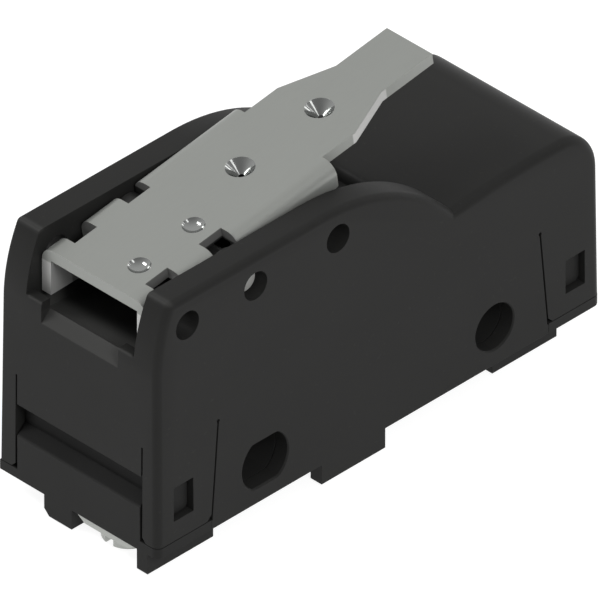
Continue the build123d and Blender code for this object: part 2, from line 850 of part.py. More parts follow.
# Contact blade: spring strip with a rounded end, a lug for the spring and a hole for the contact
with BuildPart() as contact_blade:
    with BuildSketch(across(blade_pivot_x, blade_middle)):
        Circle(blade_thickness / 2)
    extrude(amount=blade_width / 2, both=True)
    with BuildSketch(Plane.XY.offset(blade_level)):
        with Locations(((blade_pivot_x + contact_x) / 2, 0)):
            Rectangle(contact_x - blade_pivot_x, blade_width)
        with Locations((contact_x, 0)):
            Circle(blade_width / 2)
            Circle(rivet_diameter / 2 + rivet_clearance, mode=Mode.SUBTRACT)
    extrude(amount=blade_thickness)
    with BuildSketch(Plane.YZ.offset(blade_lug_x)):
        with Locations((0, blade_level - blade_lug_depth / 2 + blade_thickness / 2)):
            Rectangle(blade_lug_width, blade_lug_depth + blade_thickness)
        with Locations((0, spring_level)):
            Circle(spring_wire, mode=Mode.SUBTRACT)
    extrude(amount=blade_thickness)
write(contact_blade.part, "contact_blade")


# Moving contact: a rivet with a head on each side of the blade
with BuildPart() as moving_contact:
    with BuildSketch(Plane.XY.offset(moving_low)):
        with Locations((contact_x, 0)):
            Circle(contact_diameter / 2)
    extrude(amount=blade_level - moving_low)
    with BuildSketch(Plane.XY.offset(blade_level)):
        with Locations((contact_x, 0)):
            Circle(rivet_diameter / 2)
    extrude(amount=blade_thickness)
    with BuildSketch(Plane.XY.offset(blade_top)):
        with Locations((contact_x, 0)):
            Circle(contact_diameter / 2)
    extrude(amount=moving_top - blade_top)
    rims = moving_contact.edges().filter_by(GeomType.CIRCLE).group_by(Axis.Z)
    chamfer(rims[0] + rims[-1], contact_height / 8)
write(moving_contact.part, "moving_contact")

# Fixed contacts: rivets in the arms of the open and the closed terminal
fixed_contacts = {
    "open_contact": (open_arm_top - strip, open_arm_top, open_contact_top),
    "closed_contact": (closed_arm_low + strip, closed_arm_low, closed_arm_low - fixed_contact_height),
}
for name, (shank_end, seat, face) in fixed_contacts.items():
    with BuildPart() as fixed_contact:
        with BuildSketch(Plane.XY.offset(seat)):
            with Locations((contact_x, 0)):
                Circle(rivet_diameter / 2)
        extrude(amount=shank_end - seat)
        with BuildSketch(Plane.XY.offset(seat)):
            with Locations((contact_x, 0)):
                Circle(contact_diameter / 2)
        extrude(amount=face - seat)
        face_rim = fixed_contact.edges().filter_by(GeomType.CIRCLE).sort_by(
            lambda e: abs(e.center().Z - face)
        )
        chamfer(face_rim[:1], contact_height / 8)
    write(fixed_contact.part, name)

# Terminals: a plate with a threaded collar, a riser through the floor, and an arm or shelf
arm_end = contact_x - arm_overhang
terminals = {
    "common_terminal": (terminal_places[0], shelf_top, common_shelf_end, anchor_rivet_x),
    "open_terminal": (terminal_places[1], open_arm_top, contact_x + arm_overhang, contact_x),
    "closed_terminal": (terminal_places[2], closed_arm_low + strip, arm_end, contact_x),
}
thread_radius = screw_diameter / 2 + thread_clearance
for name, (place, arm_top, arm_reach, rivet_x) in terminals.items():
    riser_x = place + riser_offset
    with BuildPart() as terminal:
        with BuildSketch(Plane.XY.offset(foot_height)):
            with Locations((place, bay_middle)):
                Rectangle(terminal_plate_length, terminal_plate_width)
        extrude(amount=strip)
        with BuildSketch(Plane.XY.offset(foot_height)):
            with Locations((place, bay_middle)):
                Circle(collar_diameter / 2)
        extrude(amount=floor_top - foot_height)
        with BuildSketch(Plane.YZ.offset(riser_x)):
            with BuildLine():
                Polyline(
                    (bay_middle - riser_foot_width / 2, foot_height),
                    (bay_middle + riser_foot_width / 2, foot_height),
                    (bay_middle + riser_foot_width / 2, floor_top + strip),
                    (riser_head_width / 2, floor_top + riser_head_width / 2),
                    (riser_head_width / 2, arm_top),
                    (-riser_head_width / 2, arm_top),
                    (-riser_head_width / 2, floor_top + riser_head_width / 2),
                    (bay_middle - riser_foot_width / 2, floor_top + strip),
                    close=True,
                )
            make_face()
        extrude(amount=strip / 2, both=True)
        with BuildSketch(Plane.XY.offset(arm_top - strip)):
            with Locations(((riser_x + arm_reach) / 2, 0)):
                Rectangle(abs(riser_x - arm_reach), riser_head_width)
        extrude(amount=strip)
        with BuildSketch(Plane.XY.offset(arm_top - strip)):
            with Locations((rivet_x, 0)):
                Circle(rivet_diameter / 2 + rivet_clearance)
        extrude(amount=strip, mode=Mode.SUBTRACT)
        with BuildSketch(Plane.XY.offset(foot_height)):
            with Locations((place, bay_middle)):
                Circle(thread_radius)
        extrude(amount=floor_top - foot_height, mode=Mode.SUBTRACT)
        if name == "common_terminal":
            with BuildSketch(Plane.YZ.offset(riser_x)):
                with Locations((0, spring_level)):
                    Circle(spring_wire)
            extrude(amount=strip, both=True, mode=Mode.SUBTRACT)
    write(terminal.part, name)

# Blade anchor: block with a notch that the blade's edge rocks in, and its rivet
with BuildPart() as blade_anchor:
    with BuildSketch(Plane.XZ):
        with BuildLine():
            Polyline(
                (anchor_start, shelf_top),
                (anchor_end, shelf_top),
                (anchor_end, blade_middle - notch_mouth / 2),
                (anchor_end - notch_throat, blade_middle),
                (anchor_end, blade_middle + notch_mouth / 2),
                (anchor_end, shelf_top + anchor_height),
                (anchor_start, shelf_top + anchor_height),
                close=True,
            )
        make_face()
    extrude(amount=riser_head_width / 2, both=True)
    with BuildSketch(Plane.XY.offset(shelf_top)):
        with Locations((anchor_rivet_x, 0)):
            Circle(rivet_diameter / 2 + rivet_clearance)
    extrude(amount=anchor_height, mode=Mode.SUBTRACT)
write(blade_anchor.part, "blade_anchor")

with BuildPart() as anchor_rivet:
    with BuildSketch(Plane.XY.offset(shelf_top - strip)):
        with Locations((anchor_rivet_x, 0)):
            Circle(rivet_diameter / 2)
    extrude(amount=strip + anchor_height)
    with BuildSketch(Plane.XY.offset(shelf_top + anchor_height)):
        with Locations((anchor_rivet_x, 0)):
            Circle(rivet_head_diameter / 2)
    extrude(amount=rivet_diameter / 3)
    chamfer(anchor_rivet.edges().group_by(Axis.Z)[-1], rivet_diameter / 8)
write(anchor_rivet.part, "anchor_rivet")

# Tension spring: close coils along X, with a leg and a stop at each end
riser_face = terminal_places[0] + riser_offset + strip / 2
coils_start = riser_face + spring_leg
coils_end = blade_lug_x - spring_leg
coil_count = int((coils_end - coils_start) / spring_wire / 2) * 2
coil_pitch = (coils_end - coils_start) / coil_count
core_radius = spring_diameter / 2 - spring_wire

with BuildPart() as tension_spring:
    with BuildSketch(Plane.XZ):
        with BuildLine():
            coil_edge = [(coils_start, spring_level + core_radius)]
            for i in range(coil_count):
                coil_edge.append((coils_start + (i + 0.5) * coil_pitch, spring_level + spring_diameter / 2))
                coil_edge.append((coils_start + (i + 1) * coil_pitch, spring_level + core_radius))
            Polyline(
                (coils_start, spring_level + spring_wire / 2),
                *coil_edge,
                (coils_end, spring_level + spring_wire / 2),
                close=True,
            )
        make_face()
    revolve(axis=Axis((0, 0, spring_level), (1, 0, 0)))
    leg_start = riser_face - strip - spring_stop_gap
    leg_end = blade_lug_x + blade_thickness + spring_stop_gap
    with BuildSketch(Plane.YZ.offset(leg_start)):
        with Locations((0, spring_level)):
            Circle(spring_wire / 2)
    extrude(amount=leg_end - leg_start)
    with BuildSketch(Plane.YZ.offset(leg_start)):
        with Locations((0, spring_level)):
            Circle(spring_stop_diameter / 2)
    extrude(amount=-spring_wire)
    with BuildSketch(Plane.YZ.offset(leg_end)):
        with Locations((0, spring_level)):
            Circle(spring_stop_diameter / 2)
    extrude(amount=spring_wire)
write(tension_spring.part, "tension_spring")

# Terminal screws with slotted pan heads, and the pressure plates under the heads
head_radius = screw_head_diameter / 2
for name, place in zip(("common", "open", "closed"), terminal_places):
    with BuildPart() as screw:
        with BuildSketch(Plane(origin=(place, bay_middle, 0), x_dir=(1, 0, 0), z_dir=(0, -1, 0))):
            with BuildLine():
                Polyline(
                    (0, head_low),
                    (head_radius - screw_rim_chamfer, head_low),
                    (head_radius, head_low + screw_rim_chamfer),
                    (head_radius, head_high),
                    (screw_diameter / 2, head_high),
                    (screw_diameter / 2, screw_tip - screw_tip_chamfer),
                    (screw_diameter / 2 - screw_tip_chamfer, screw_tip),
                    (0, screw_tip),
                    close=True,
                )
            make_face()
        revolve(axis=Axis((place, bay_middle, 0), (0, 0, 1)))
        with BuildSketch(Plane.XY.offset(head_low)):
            with Locations((place, bay_middle)):
                Rectangle(2 * screw_head_diameter, screw_slot_width)
        extrude(amount=screw_slot_depth, mode=Mode.SUBTRACT)
    write(screw.part, f"terminal_screw_{name}")
    with BuildPart() as clamp:
        with BuildSketch(Plane.XY.offset(head_high)):
            with Locations((place, bay_middle)):
                Rectangle(clamp_length, clamp_width)
                Circle(screw_diameter / 2 + bay_clearance, mode=Mode.SUBTRACT)
        extrude(amount=clamp_thickness)
        underside = clamp.faces().sort_by(Axis.Z)[0]
        long_edges = underside.edges().filter_by(Axis.X)
        chamfer(long_edges, clamp_chamfer, clamp_thickness - clamp_lip, reference=underside)
    write(clamp.part, f"terminal_clamp_{name}")
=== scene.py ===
from math import cos, pi, radians, sin, sqrt

import bmesh
import bpy
from mathutils import Matrix, Vector


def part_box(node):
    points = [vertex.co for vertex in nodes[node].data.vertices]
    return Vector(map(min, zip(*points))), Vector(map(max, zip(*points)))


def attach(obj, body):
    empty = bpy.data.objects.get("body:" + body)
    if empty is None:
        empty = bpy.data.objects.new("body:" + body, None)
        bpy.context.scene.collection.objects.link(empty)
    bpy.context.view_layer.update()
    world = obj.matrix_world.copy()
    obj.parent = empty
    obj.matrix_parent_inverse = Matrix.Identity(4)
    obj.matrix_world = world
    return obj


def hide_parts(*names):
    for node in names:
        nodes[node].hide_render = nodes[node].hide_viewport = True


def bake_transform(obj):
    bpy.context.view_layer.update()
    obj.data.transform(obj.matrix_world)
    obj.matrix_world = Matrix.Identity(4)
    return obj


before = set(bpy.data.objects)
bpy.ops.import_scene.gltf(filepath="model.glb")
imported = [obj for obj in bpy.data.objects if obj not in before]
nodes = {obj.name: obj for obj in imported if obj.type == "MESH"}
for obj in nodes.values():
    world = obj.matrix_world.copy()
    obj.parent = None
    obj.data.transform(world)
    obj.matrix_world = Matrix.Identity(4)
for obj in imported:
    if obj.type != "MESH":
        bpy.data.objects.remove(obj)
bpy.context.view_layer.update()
scene = bpy.context.scene

MM = 0.001
# The lever's pivot axis, and the slope of its sheet at rest
PIVOT = (-13.54 * MM, 0.0, 22.40 * MM)
LEVER_RISE = radians(8.42)

# ---------------------------------------------------------------- camera and lamps

# Width of the picture at the part. The lens and the sensor are in millimetres as they are.
PICTURE_SPAN = 46.95 * MM
LENS = 1690.0
SENSOR = 36.0
# Isometric direction, turned by a few hundredths of a degree to make up for the long lens
TOWARD_CAMERA = Vector((-0.57646, -0.57725, 0.57833)).normalized()
LOOK_AT = Vector((-0.114, 0.095, 10.031)) * MM

camera_data = bpy.data.cameras.new("camera")
camera_data.type = "PERSP"
camera_data.lens = LENS
camera_data.sensor_width = SENSOR
camera_data.clip_start = 0.01
camera_data.clip_end = 20.0
camera = bpy.data.objects.new("camera", camera_data)
scene.collection.objects.link(camera)
camera.location = LOOK_AT + TOWARD_CAMERA * (LENS / SENSOR * PICTURE_SPAN)
camera.rotation_mode = "QUATERNION"
camera.rotation_quaternion = (-TOWARD_CAMERA).to_track_quat("-Z", "Y")
scene.camera = camera
scene.view_settings.view_transform = "Standard"

LAMP_AIM = Vector((0.0, 0.0, 14.0 * MM))
LAMP_DISTANCE = 0.60


def softbox(name, direction, width, height, power, mirrored=True, along=None):
    """A rectangular lamp in the given direction from the housing, which it faces.
    Its width runs level, or as near to along as it can.
    With mirrored off it lights surfaces but doesn't show in polished metal."""
    back = Vector(direction).normalized()
    side = Vector(along) if along else Vector((0.0, 0.0, 1.0)).cross(back)
    side = (side - back * side.dot(back)).normalized()
    data = bpy.data.lights.new(name, "AREA")
    data.shape = "RECTANGLE"
    data.size, data.size_y = width, height
    data.energy = power
    lamp = bpy.data.objects.new(name, data)
    lamp.location = LAMP_AIM + back * LAMP_DISTANCE
    lamp.rotation_mode = "QUATERNION"
    lamp.rotation_quaternion = Matrix((side, back.cross(side), back)).transposed().to_quaternion()
    lamp.visible_glossy = mirrored
    scene.collection.objects.link(lamp)


softbox("softbox_over", (-0.15, -0.10, 1.0), 0.40, 0.40, 0.30, mirrored=False)
softbox("fill_lamp", (-0.50, -1.20, 1.0), 0.20, 0.20, 1.45, mirrored=False)
softbox("softbox_back", (0.9, 1.0, 0.35), 0.40, 0.30, 0.60, mirrored=False)
softbox("rim_lamp", (-0.44, 0.50, 0.74), 0.32, 0.08, 1.0, along=(0.394, 0.817, -0.423))
softbox("strip_lamp_near", (0.20, -0.664, 0.72), 0.11, 0.26, 0.16)
softbox("strip_lamp_middle", (0.75, -0.45, 0.45), 0.03, 0.26, 0.05)
softbox("strip_lamp_far", (0.94, -0.20, 0.28), 0.09, 0.26, 0.16)


# ---------------------------------------------------------------- node trees

class Wire:
    """One output of a node, with arithmetic that adds Math nodes."""

    def __init__(self, web, socket):
        self.web = web
        self.socket = socket

    def math(self, operation, *others, clamp=False):
        settings = {"operation": operation, "use_clamp": clamp}
        return self.web.add("ShaderNodeMath", settings, {i: v for i, v in enumerate((self, *others))})

    def __add__(self, other):
        return self.math("ADD", other)

    def __sub__(self, other):
        return self.math("SUBTRACT", other)

    def __mul__(self, other):
        return self.math("MULTIPLY", other)

    def __pow__(self, other):
        return self.math("POWER", other)

    def __rsub__(self, other):
        return self.web.add("ShaderNodeMath", {"operation": "SUBTRACT"}, {0: other, 1: self})

    __radd__ = __add__

    def clamp(self):
        return self.math("ADD", 0.0, clamp=True)

    def between(self, low, high):
        """0 below low, 1 above high and a smooth step between them."""
        return self.web.add(
            "ShaderNodeMapRange",
            {"interpolation_type": "SMOOTHSTEP"},
            {"Value": self, "From Min": low, "From Max": high},
            "Result",
        )


class Web:
    """A node tree, of the world, a material or a geometry group."""

    def __init__(self, tree):
        self.tree = tree
        tree.nodes.clear()

    def add(self, kind, settings, sockets, output=0):
        """Adds a node: its settings first, then the values or links of its sockets."""
        node = self.tree.nodes.new(kind)
        for key, value in settings.items():
            setattr(node, key, value)
        for key, value in sockets.items():
            target = node.inputs[key]
            if isinstance(value, Wire):
                self.tree.links.new(value.socket, target)
            elif isinstance(value, tuple) and len(value) == 3 and len(target.default_value) == 4:
                target.default_value = (*value, 1.0)
            else:
                target.default_value = value
        return Wire(self, node.outputs[output]) if node.outputs else None


class Finish(Web):
    """The node tree of one material, on object coordinates."""

    def __init__(self, name):
        self.material = bpy.data.materials.new(name)
        self.material.use_nodes = True
        super().__init__(self.material.node_tree)
        self.place = self.add("ShaderNodeTexCoord", {}, {}, "Object")

    def zone(self, edge, where=None, **ranges):
        """1 inside a box given by its ranges of x, y and z, and 0 outside it, with a soft edge.
        A range that starts at 0 or above also holds for its mirror image on the other side of 0."""
        mask = None
        for axis, (low, high) in ranges.items():
            value = self.add("ShaderNodeSeparateXYZ", {}, {"Vector": where or self.place}, axis.upper())
            if low >= 0.0:
                value = value.math("ABSOLUTE")
            part = 1.0 - value.between(high - edge, high + edge)
            if low != 0.0:
                part = part * value.between(low - edge, low + edge)
            mask = part if mask is None else mask * part
        return mask

    def stretched(self, scale, where=None):
        """The coordinates times the scale of each axis."""
        return self.add("ShaderNodeMapping", {}, {"Vector": where or self.place, "Scale": scale}, "Vector")

    def noise(self, scale, detail=3.0, roughness=0.5, where=None, distortion=0.0):
        return self.add(
            "ShaderNodeTexNoise",
            {},
            {
                "Vector": where or self.place,
                "Scale": scale,
                "Detail": detail,
                "Roughness": roughness,
                "Distortion": distortion,
            },
            "Fac",
        )

    def blend(self, factor, first, second):
        """Mixes two colours."""
        return self.add("ShaderNodeMix", {"data_type": "RGBA"}, {0: factor, 6: first, 7: second}, 2)

    def relief(self, height, distance, strength):
        return self.add(
            "ShaderNodeBump", {}, {"Height": height, "Distance": distance, "Strength": strength}, "Normal"
        )

    def finish(self, **sockets):
        """The surface itself, with its sockets given by name."""
        named = {name.replace("_", " "): value for name, value in sockets.items()}
        shader = self.add("ShaderNodeBsdfPrincipled", {}, named, "BSDF")
        self.add("ShaderNodeOutputMaterial", {}, {"Surface": shader})
        return self.material


# ---------------------------------------------------------------- materials

def shade(colour, factor):
    return tuple(factor * value for value in colour)


def box(edge=0.08, **ranges):
    """What Finish.zone needs, from millimetres."""
    return {"edge": edge * MM, **{axis: (low * MM, high * MM) for axis, (low, high) in ranges.items()}}


def moulded_plastic(name, colour, rough, shine=0.1, marks=()):
    """Black moulded plastic with a fine eroded grain, faint flow marks and scattered lighter specks.
    marks lists places of painted highlight or painted shade, lighter or darker, as (tone factor, box)."""
    web = Finish(name)
    grain = web.noise(9000.0, detail=2.0, roughness=0.6)
    clouds = web.noise(160.0, roughness=0.55)
    flow = web.noise(90.0, detail=2.0, where=web.stretched((1.0, 1.0, 3.5)), distortion=0.6)
    specks = web.noise(2600.0, detail=1.0, roughness=0.4).between(0.70, 0.80)
    tone = web.blend((clouds * 0.6 + flow * 0.4).clamp(), shade(colour, 0.88), shade(colour, 1.10))
    tone = web.blend(specks * 0.35, tone, shade(colour, 1.8))
    for factor, where in marks:
        tone = web.blend(web.zone(**where), tone, shade(colour, factor))
    return web.finish(
        Base_Color=tone,
        Roughness=(rough + (clouds - 0.5) * 0.12 + (grain - 0.5) * 0.10).clamp(),
        Normal=web.relief(grain * 0.7 + clouds * 0.3, 0.012 * MM, 0.45),
        Specular_IOR_Level=shine,
    )


POLISHED_COLOUR = (0.42, 0.43, 0.42)
POLISHED_ROUGHNESS = 0.11


def rolled_metal(name, colour, rough, along=(1.0, 14.0, 14.0), metal=0.8, marks=(), polished=()):
    """Cold rolled strip: streaks along the rolling direction, fine scratches and cloudy tarnish.
    marks lists places of painted shade and painted highlight as (grey tone, box), and polished bright pressed
    places as (distance from the pivot, across, radius) in millimetres, both in the lever's own directions."""
    web = Finish(name)
    sheet = web.add(
        "ShaderNodeMapping",
        {"vector_type": "TEXTURE"},
        {"Vector": web.place, "Location": PIVOT, "Rotation": (0.0, -LEVER_RISE, 0.0)},
        "Vector",
    )
    grain = web.stretched(along, where=sheet)
    streaks = web.noise(700.0, detail=4.0, roughness=0.65, where=grain)
    scratches = web.noise(2400.0, detail=2.0, where=grain).between(0.60, 0.72)
    clouds = web.noise(220.0)
    tone = web.blend((streaks * 0.7 + clouds * 0.3).clamp(), shade(colour, 0.93), shade(colour, 1.07))
    roughness = rough + (streaks - 0.5) * 0.16 + (clouds - 0.5) * 0.08 - scratches * 0.05
    metallic = metal
    for grey, where in marks:
        tone = web.blend(web.zone(where=sheet, **where), tone, (grey, grey, 0.98 * grey))
    if polished:
        length, across = (web.add("ShaderNodeSeparateXYZ", {}, {"Vector": sheet}, axis) for axis in "XY")
        bright = None
        for distance, row, radius in polished:
            spot = ((length - distance * MM) ** 2.0 + (across - row * MM) ** 2.0) ** 0.5
            disc = 1.0 - spot.between((radius - 0.06) * MM, (radius + 0.03) * MM)
            bright = disc if bright is None else bright.math("MAXIMUM", disc)
        tone = web.blend(bright, tone, POLISHED_COLOUR)
        roughness = roughness * (1.0 - bright) + bright * POLISHED_ROUGHNESS
        metallic = bright * (1.0 - metal) + metal
    return web.finish(
        Base_Color=tone,
        Metallic=metallic,
        Roughness=roughness.clamp(),
        Normal=web.relief(streaks * 0.6 + scratches * 0.4, 0.005 * MM, 0.4),
    )


plastic_cover = moulded_plastic(
    "cover_plastic",
    (0.0215, 0.0215, 0.0208),
    0.46,
    marks=[
        # painted highlights on the sill, the front corners of the noses and the front edges of the ledges,
        # and painted light against the shade in the scoop behind the sill
        (2.3, box(x=(-25.0, -23.3), y=(0.0, 4.2), z=(17.9, 19.0))),
        (3.1, box(x=(-23.3, -20.3), y=(0.0, 7.0), z=(16.0, 18.8), edge=0.7)),
        (1.9, box(x=(-23.6, -22.4), z=(24.9, 25.8), edge=0.25)),
        (2.0, box(x=(-25.0, -24.2), y=(4.2, 5.7), z=(19.62, 19.9))),
    ],
)
plastic_base = moulded_plastic(
    "base_plastic",
    (0.0212, 0.0212, 0.0206),
    0.50,
    marks=[
        # painted shade in the groove across the ends, darker still along its deepest line, and painted shade
        # on the snap lugs behind the windows
        (0.3, box(x=(23.2, 25.0), z=(6.05, 10.0))),
        (0.1, box(x=(23.2, 23.9), z=(6.8, 7.1))),
        (0.7, box(x=(20.3, 23.0), y=(8.0, 8.4), z=(4.5, 8.0))),
    ],
)
steel_lever = rolled_metal(
    "lever_steel",
    (0.335, 0.345, 0.326),
    0.42,
    metal=0.5,
    marks=[
        # painted shade round the pivot and on the sheared walls of the two pairs of reliefs, and painted
        # highlights on the cut ends
        (0.05, box(x=(0.0, 2.0), z=(-2.0, 1.9))),
        (0.28, box(x=(0.0, 1.3), y=(2.0, 7.0), z=(1.9, 2.6))),
        (0.28, box(x=(-7.3, -4.6), y=(2.0, 7.0), z=(1.4, 2.6))),
        (0.60, box(x=(15.4, 20.9), z=(1.4, 2.62))),
        (0.60, box(x=(-10.0, -7.2), z=(-5.0, 1.5))),
    ],
    # the two countersinks and the two dimples
    polished=[(7.22, 0.0, 1.225), (16.03, 0.0, 1.225), (-5.88, -1.95, 0.95), (0.10, -1.95, 0.95)],
)
# The pin is bright at its ends only: between the cheeks it is painted dark, a painted shade
steel_pin = rolled_metal(
    "pin_steel",
    (0.62, 0.62, 0.60),
    0.34,
    along=(10.0, 1.0, 10.0),
    metal=0.35,
    marks=[(0.03, box(y=(0.0, 6.2)))],
)
steel_plated = rolled_metal("plated_steel", (0.40, 0.41, 0.39), 0.36, along=(4.0, 4.0, 4.0))
copper_strip = rolled_metal("spring_copper", (0.62, 0.36, 0.20), 0.32, metal=1.0)
brass_strip = rolled_metal("terminal_brass", (0.60, 0.44, 0.17), 0.34, metal=1.0)
silver_face = rolled_metal("contact_silver", (0.72, 0.71, 0.68), 0.28, along=(3.0, 3.0, 3.0), metal=1.0)
spring_wire = rolled_metal("spring_wire", (0.45, 0.45, 0.44), 0.30, along=(3.0, 3.0, 3.0), metal=1.0)
smooth_plastic = moulded_plastic("plunger_plastic", (0.03, 0.03, 0.03), 0.35, shine=0.4)
black_rubber = moulded_plastic("seal_rubber", (0.02, 0.02, 0.02), 0.75)

# Screws and clamps aren't listed: they are plated
finishes = {
    "housing_cover": plastic_cover,
    "base": plastic_base,
    "actuating_lever": steel_lever,
    "pivot_pin": steel_pin,
    "plunger": smooth_plastic,
    "plunger_seal": black_rubber,
    "contact_blade": copper_strip,
    "moving_contact": silver_face,
    "open_contact": silver_face,
    "closed_contact": silver_face,
    "common_terminal": brass_strip,
    "open_terminal": brass_strip,
    "closed_terminal": brass_strip,
    "blade_anchor": brass_strip,
    "anchor_rivet": brass_strip,
    "tension_spring": spring_wire,
}
for name, node in nodes.items():
    node.data.materials.clear()
    node.data.materials.append(finishes.get(name, steel_plated))


# ---------------------------------------------------------------- moulded and stamped pieces

MERGE_DISTANCE = 1e-7
FLAT_ANGLE = radians(0.4)
SHARP_ANGLE = radians(32)

# The wide mounting hole: x and z of its middle, its radius, and the distance of its flats from the middle.
# Vertices that lie this near to its outline in the CAD solids belong to its wall and to the edges round it.
HOLE_MIDDLE = (-12.7 * MM, 5.4 * MM)
HOLE_RADIUS = 2.5 * MM
HOLE_FLAT = 2.1 * MM
NEAR_OUTLINE = 0.2 * MM


def flatted_hole(work):
    """Gives the wide mounting hole the photograph's outline, a circle cut by two level flats, in place of
    the CAD solids' slot with half-round ends. It moves the wall's vertices outwards from the middle."""
    straight = HOLE_RADIUS - HOLE_FLAT
    for vert in work.verts:
        x, z = vert.co.x - HOLE_MIDDLE[0], vert.co.z - HOLE_MIDDLE[1]
        distance = sqrt(x * x + z * z)
        if distance < NEAR_OUTLINE:
            continue
        across, up = abs(x) / distance, abs(z) / distance
        if HOLE_FLAT * across <= straight * up:
            old = HOLE_FLAT / up
        else:
            old = straight * across + sqrt(HOLE_FLAT**2 - (straight * up) ** 2)
        if abs(distance - old) < NEAR_OUTLINE:
            new = HOLE_FLAT / up if HOLE_FLAT < HOLE_RADIUS * up else HOLE_RADIUS
            ratio = new / old
            vert.co.x, vert.co.z = HOLE_MIDDLE[0] + x * ratio, HOLE_MIDDLE[1] + z * ratio


def merged(name, reshape=None):
    """A CAD mesh to work on, its doubled vertices merged and its flat faces joined."""
    work = bmesh.new()
    work.from_mesh(nodes[name].data)
    bmesh.ops.remove_doubles(work, verts=work.verts, dist=MERGE_DISTANCE)
    if reshape:
        reshape(work)
    bmesh.ops.dissolve_limit(work, angle_limit=FLAT_ANGLE, verts=work.verts, edges=work.edges)
    return work


def stored(name, work):
    """A copy of the CAD mesh that holds the work, without the normals that the solid came with."""
    mesh = nodes[name].data.copy()
    work.to_mesh(mesh)
    work.free()
    if "custom_normal" in mesh.attributes:
        mesh.attributes.remove(mesh.attributes["custom_normal"])
    return mesh


def broken_edges(name, body, width, title, reshape=None):
    """Replaces a CAD solid by a merged copy whose sharp edges are slightly rounded."""
    work = merged(name, reshape)
    for face in work.faces:
        face.smooth = True
    for edge in work.edges:
        edge.smooth = len(edge.link_faces) == 2 and edge.calc_face_angle(pi) < SHARP_ANGLE
    mesh = stored(name, work)
    mesh.name = title
    piece = bpy.data.objects.new(title, mesh)
    scene.collection.objects.link(piece)
    bevel = piece.modifiers.new("broken_edges", "BEVEL")
    bevel.width = width
    bevel.segments = 2
    bevel.limit_method = "ANGLE"
    bevel.angle_limit = SHARP_ANGLE
    bevel.harden_normals = True
    bevel.use_clamp_overlap = True
    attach(piece, body)
    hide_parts(name)


broken_edges("housing_cover", "housing", 0.07 * MM, "moulded_cover", flatted_hole)
broken_edges("base", "housing", 0.05 * MM, "moulded_base", flatted_hole)
broken_edges("actuating_lever", "lever", 0.05 * MM, "stamped_lever")


# ---------------------------------------------------------------- wound and turned shapes

def winding_tree():
    """Geometry nodes: a wire wound round Z in even turns, from z = 0 upwards."""
    tree = bpy.data.node_groups.new("winding", "GeometryNodeTree")
    identifiers = {}
    for name, kind in (
        ("Turns", "NodeSocketFloat"),
        ("Steps a Turn", "NodeSocketInt"),
        ("Coil Radius", "NodeSocketFloat"),
        ("Wire Radius", "NodeSocketFloat"),
        ("Wire Corners", "NodeSocketInt"),
        ("Height", "NodeSocketFloat"),
        ("Finish", "NodeSocketMaterial"),
    ):
        identifiers[name] = tree.interface.new_socket(name, in_out="INPUT", socket_type=kind).identifier
    tree.interface.new_socket("Geometry", in_out="OUTPUT", socket_type="NodeSocketGeometry")
    web = Web(tree)
    size = {name: web.add("NodeGroupInput", {}, {}, name) for name in identifiers}
    line = web.add(
        "GeometryNodeCurveSpiral",
        {},
        {
            "Rotations": size["Turns"],
            "Resolution": size["Steps a Turn"],
            "Start Radius": size["Coil Radius"],
            "End Radius": size["Coil Radius"],
            "Height": size["Height"],
        },
        "Curve",
    )
    section = web.add(
        "GeometryNodeCurvePrimitiveCircle",
        {},
        {"Resolution": size["Wire Corners"], "Radius": size["Wire Radius"]},
        "Curve",
    )
    wire = web.add(
        "GeometryNodeCurveToMesh", {}, {"Curve": line, "Profile Curve": section, "Fill Caps": True}, "Mesh"
    )
    smooth = web.add("GeometryNodeSetShadeSmooth", {}, {"Geometry": wire}, "Geometry")
    real = web.add("GeometryNodeRealizeInstances", {}, {"Geometry": smooth}, "Geometry")
    finished = web.add(
        "GeometryNodeSetMaterial", {}, {"Geometry": real, "Material": size["Finish"]}, "Geometry"
    )
    web.add("NodeGroupOutput", {}, {"Geometry": finished})
    return tree, identifiers


winding, winding_inputs = winding_tree()


def wound_wire(finish, **sizes):
    """The winding as a plain mesh, with the given named sizes."""
    holder = bpy.data.objects.new("winding", bpy.data.meshes.new("winding"))
    scene.collection.objects.link(holder)
    modifier = holder.modifiers.new("winding", "NODES")
    modifier.node_group = winding
    for name, value in sizes.items():
        modifier[winding_inputs[name.replace("_", " ")]] = value
    modifier[winding_inputs["Finish"]] = finish
    graph = bpy.context.evaluated_depsgraph_get()
    mesh = bpy.data.meshes.new_from_object(holder.evaluated_get(graph))
    bpy.data.objects.remove(holder)
    return mesh


def lathe(profile, steps):
    """A closed shape turned round Z from (radius, height) points that start and end on the axis."""
    mesh = bpy.data.meshes.new("lathe")
    inner = profile[1:-1]
    points = [(0.0, 0.0, profile[0][1])]
    for step in range(steps):
        angle = 2 * pi * step / steps
        points += [(radius * cos(angle), radius * sin(angle), height) for radius, height in inner]
    points.append((0.0, 0.0, profile[-1][1]))
    count, last = len(inner), len(points) - 1
    faces = []
    for step in range(steps):
        here, there = 1 + step * count, 1 + (step + 1) % steps * count
        faces.append((0, there, here))
        faces += [(here + i, there + i, there + i + 1, here + i + 1) for i in range(count - 1)]
        faces.append((here + count - 1, there + count - 1, last))
    mesh.from_pydata(points, [], faces)
    for face in mesh.polygons:
        face.use_smooth = True
    return mesh


def one_mesh(title, pieces, finish):
    """Joins meshes, each with the matrix that puts it in place, into one new object."""
    work = bmesh.new()
    for mesh, matrix in pieces:
        mesh.transform(matrix)
        work.from_mesh(mesh)
    bmesh.ops.recalc_face_normals(work, faces=work.faces)
    mesh = bpy.data.meshes.new(title)
    work.to_mesh(mesh)
    work.free()
    mesh.materials.clear()
    mesh.materials.append(finish)
    piece = bpy.data.objects.new(title, mesh)
    scene.collection.objects.link(piece)
    return piece


# ---------------------------------------------------------------- tension spring

